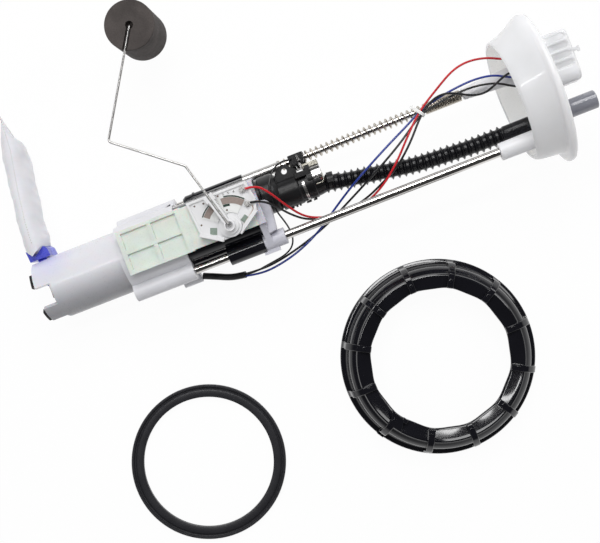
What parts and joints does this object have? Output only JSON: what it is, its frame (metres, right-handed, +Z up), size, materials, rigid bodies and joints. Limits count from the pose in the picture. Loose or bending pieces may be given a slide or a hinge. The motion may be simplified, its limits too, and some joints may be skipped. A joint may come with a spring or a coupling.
{
  "type": "fuel pump module",
  "caption": "In-tank fuel pump module: sprung telescoping reservoir with pump, level sender and strainer hung from a tank flange, with its lock ring and seal.",
  "frame": {"origin": "centre of the tank flange rim's seat face", "axes": "+X from the strainer end towards the tank flange, +Y towards the float, +Z up from the bench; the module's own axis leans 4.7 degrees up from the reservoir end, as it lies"},
  "size_m": [0.4778, 0.4394, 0.1239],
  "materials": {
    "white_moulding": "satin milky white moulding",
    "canister_white": "satin",
    "bracket_pale_green": "satin, slightly see-through",
    "black_gloss": "glossy",
    "black_matte": "matte",
    "grey_plastic": "matte",
    "blue_plastic": "satin",
    "rod_chrome": "polished",
    "steel": "satin",
    "bright_cap": "bright",
    "pin_metal": "tin-plated brass",
    "copper": "copper",
    "carbon": "matte carbon",
    "magnet": "dull",
    "core": "wound and lacquered",
    "board": "satin",
    "track": "matte ink",
    "black_rubber": "matte",
    "seal_rubber": "satin",
    "float_foam": "matte foam",
    "sock_fabric": "quilted mesh",
    "red_wire": "satin",
    "blue_wire": "satin",
    "black_wire": "satin",
    "tie_white": "satin"
  },
  "bodies": {
    "flange_head": {"tank_flange": "white_moulding", "connector_housing": "white_moulding", "terminal_pins": "pin_metal", "outlet_nipple": "grey_plastic", "guide_rod": "rod_chrome", "spring_rod": "rod_chrome", "rod_end_clips": "steel", "corrugated_hose": "black_matte", "return_spring": "steel", "red_wire": "red_wire", "sender_black_wire": "black_wire", "blue_wire": "blue_wire", "pump_black_wire": "black_wire", "cable_tie": "tie_white"},
    "reservoir": {"reservoir_cup": "canister_white", "foot_pads": "black_rubber", "umbrella_valve": "black_rubber", "reservoir_collar": "white_moulding", "pump_shell": "steel", "pump_inlet_cover": "grey_plastic", "pump_casing": "grey_plastic", "pump_magnets": "magnet", "pump_brushes": "carbon", "pump_end_cap": "black_matte", "pump_isolator": "black_rubber", "pump_carrier": "black_gloss", "regulator_housing": "black_gloss", "regulator_spring": "steel", "regulator_cap": "bright_cap", "ground_strap": "steel", "hose_clamp": "black_matte", "rod_guide_clip": "black_matte", "spring_spacer": "steel", "end_bracket": "white_moulding", "sender_bracket": "bracket_pale_green", "sender_card": "white_moulding", "resistor_board": "board", "resistor_tracks": "track", "sender_terminals": "steel", "strainer_base": "blue_plastic", "strainer_sock": "sock_fabric", "ground_wire": "black_wire", "wire_sheath": "black_matte"},
    "float_lever": {"wiper_hub": "white_moulding", "wiper_contacts": "copper", "float_arm": "steel", "float_body": "float_foam", "float_retainer": "steel"},
    "rotor": {"rotor_shaft": "steel", "armature": "core", "commutator": "copper", "impeller": "black_matte"},
    "check_valve": {"check_valve": "black_rubber"},
    "regulator_valve": {"regulator_valve": "grey_plastic"},
    "lock_ring": {"lock_ring": "black_gloss"},
    "tank_seal": {"tank_seal": "seal_rubber"}
  },
  "joints": [
    {"name": "reservoir_slide", "type": "slide", "parent": "flange_head", "child": "reservoir", "axis": [0.9967, 0, 0.0815], "range_m": [0, 0.055], "stiffness_N_per_m": 150, "springref_m": -0.05, "deforming": ["return_spring", "corrugated_hose", "red_wire", "sender_black_wire", "blue_wire", "pump_black_wire"]},
    {"name": "float_hinge", "type": "hinge", "parent": "reservoir", "child": "float_lever", "pos_m": [-0.26937, -0.0139, 0.01809], "axis": [-0.0815, 0, 0.9967], "range_deg": [-50, 30]},
    {"name": "rotor_spin", "type": "hinge", "parent": "reservoir", "child": "rotor", "pos_m": [-0.37873, -0.0074, -0.03099], "axis": [0.9967, 0, 0.0815], "continuous": true},
    {"name": "check_valve_lift", "type": "slide", "parent": "reservoir", "child": "check_valve", "axis": [0.9967, 0, 0.0815], "range_m": [0, 0.0015]},
    {"name": "regulator_valve_lift", "type": "slide", "parent": "reservoir", "child": "regulator_valve", "axis": [0.9967, 0, 0.0815], "range_m": [0, 0.0015], "stiffness_N_per_m": 800, "springref_m": -0.001, "deforming": ["regulator_spring"]},
    {"name": "lock_ring_lift", "type": "slide", "parent": "flange_head", "child": "lock_ring", "axis": [0, 0, 1], "range_m": [0, 0.1]},
    {"name": "tank_seal_lift", "type": "slide", "parent": "flange_head", "child": "tank_seal", "axis": [0, 0, 1], "range_m": [0, 0.1]}
  ]
}
